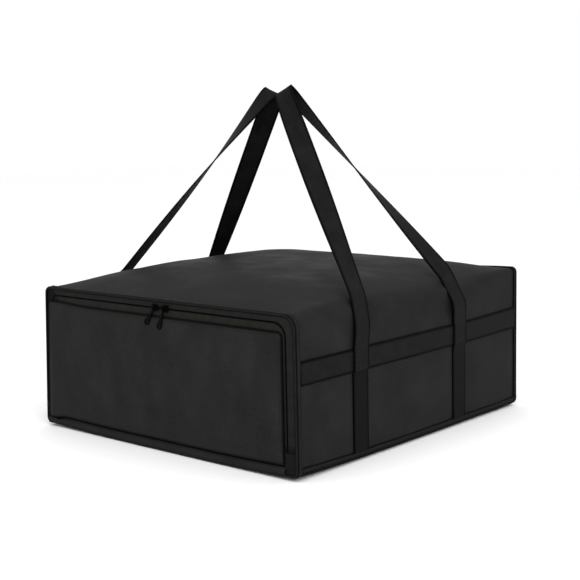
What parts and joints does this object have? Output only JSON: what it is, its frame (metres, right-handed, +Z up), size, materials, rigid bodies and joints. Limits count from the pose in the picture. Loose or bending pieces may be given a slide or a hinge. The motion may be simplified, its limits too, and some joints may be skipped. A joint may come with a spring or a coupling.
{
  "type": "pizza delivery bag",
  "caption": "Insulated soft box for pizza boxes, with a zipped front flap that folds down, bound rims, webbing straps round its sides and two long carrying handles.",
  "frame": {"origin": "middle of the base, on the surface that the bag stands on", "axes": "+Z up; +X to the right, seen from the front flap; -Y points out of the front flap, so +Y is towards the back wall"},
  "size_m": [0.4945, 0.5045, 0.4778],
  "materials": {
    "polyester_cloth": "plain woven coated polyester, black, matt with a faint sheen",
    "binding_tape": "woven binding tape, black, fine ribs",
    "zip_tape": "woven zip tape, black with a faint olive tint",
    "webbing": "polypropylene webbing, black, coarse basket weave",
    "foam_board": "closed-cell polyethylene foam, white",
    "foil_lining": "aluminised film, silver, slightly creased",
    "zip_teeth": "moulded nylon, black",
    "zip_metal": "black enamel on die-cast zinc"
  },
  "bodies": {
    "bag": {"outer_wrap": "polyester_cloth", "wrap_lining": "foil_lining", "top_foam": "foam_board", "left_foam": "foam_board", "right_foam": "foam_board", "bottom_outer": "polyester_cloth", "bottom_foam": "foam_board", "bottom_lining": "foil_lining", "back_outer": "polyester_cloth", "back_foam": "foam_board", "back_lining": "foil_lining", "front_rim_binding": "binding_tape", "back_rim_binding": "binding_tape", "left_base_binding": "binding_tape", "right_base_binding": "binding_tape", "front_sill": "polyester_cloth", "zip_tape_rim": "zip_tape", "zip_teeth_rim": "zip_teeth", "zip_stop_left_rim": "zip_teeth", "zip_stop_right_rim": "zip_teeth", "left_band": "webbing", "right_band": "webbing", "left_front_strap": "webbing", "left_back_strap": "webbing", "right_front_strap": "webbing", "right_back_strap": "webbing"},
    "flap": {"flap_outer": "polyester_cloth", "flap_foam": "foam_board", "flap_lining": "foil_lining", "zip_tape_flap": "zip_tape", "zip_teeth_flap": "zip_teeth", "zip_stop_left_flap": "zip_teeth", "zip_stop_right_flap": "zip_teeth"},
    "slider_left": {"slider_left": "zip_metal"},
    "slider_right": {"slider_right": "zip_metal"},
    "pull_left": {"pull_left": "zip_metal"},
    "pull_right": {"pull_right": "zip_metal"},
    "left_handle": {"left_handle": "webbing"},
    "right_handle": {"right_handle": "webbing"}
  },
  "joints": [
    {"name": "flap_hinge", "type": "hinge", "parent": "bag", "child": "flap", "pos_m": [0, -0.25, 0.012], "axis": [1, 0, 0], "range_deg": [0, 93]},
    {"name": "slider_left_slide", "type": "slide", "parent": "bag", "child": "slider_left", "axis": [-1, 0, 0], "range_m": [0, 0.19]},
    {"name": "slider_right_slide", "type": "slide", "parent": "bag", "child": "slider_right", "axis": [1, 0, 0], "range_m": [0, 0.18]},
    {"name": "pull_left_swing", "type": "hinge", "parent": "slider_left", "child": "pull_left", "pos_m": [-0.004, -0.2526, 0.188], "axis": [-1, 0, 0], "range_deg": [0, 150]},
    {"name": "pull_right_swing", "type": "hinge", "parent": "slider_right", "child": "pull_right", "pos_m": [0.014, -0.2526, 0.188], "axis": [-1, 0, 0], "range_deg": [0, 150]},
    {"name": "left_handle_swing", "type": "hinge", "parent": "bag", "child": "left_handle", "pos_m": [-0.2427, 0, 0.14335], "axis": [0, -1, 0], "range_deg": [0, 143]},
    {"name": "right_handle_swing", "type": "hinge", "parent": "bag", "child": "right_handle", "pos_m": [0.2427, 0, 0.14335], "axis": [0, 1, 0], "range_deg": [0, 143]}
  ]
}
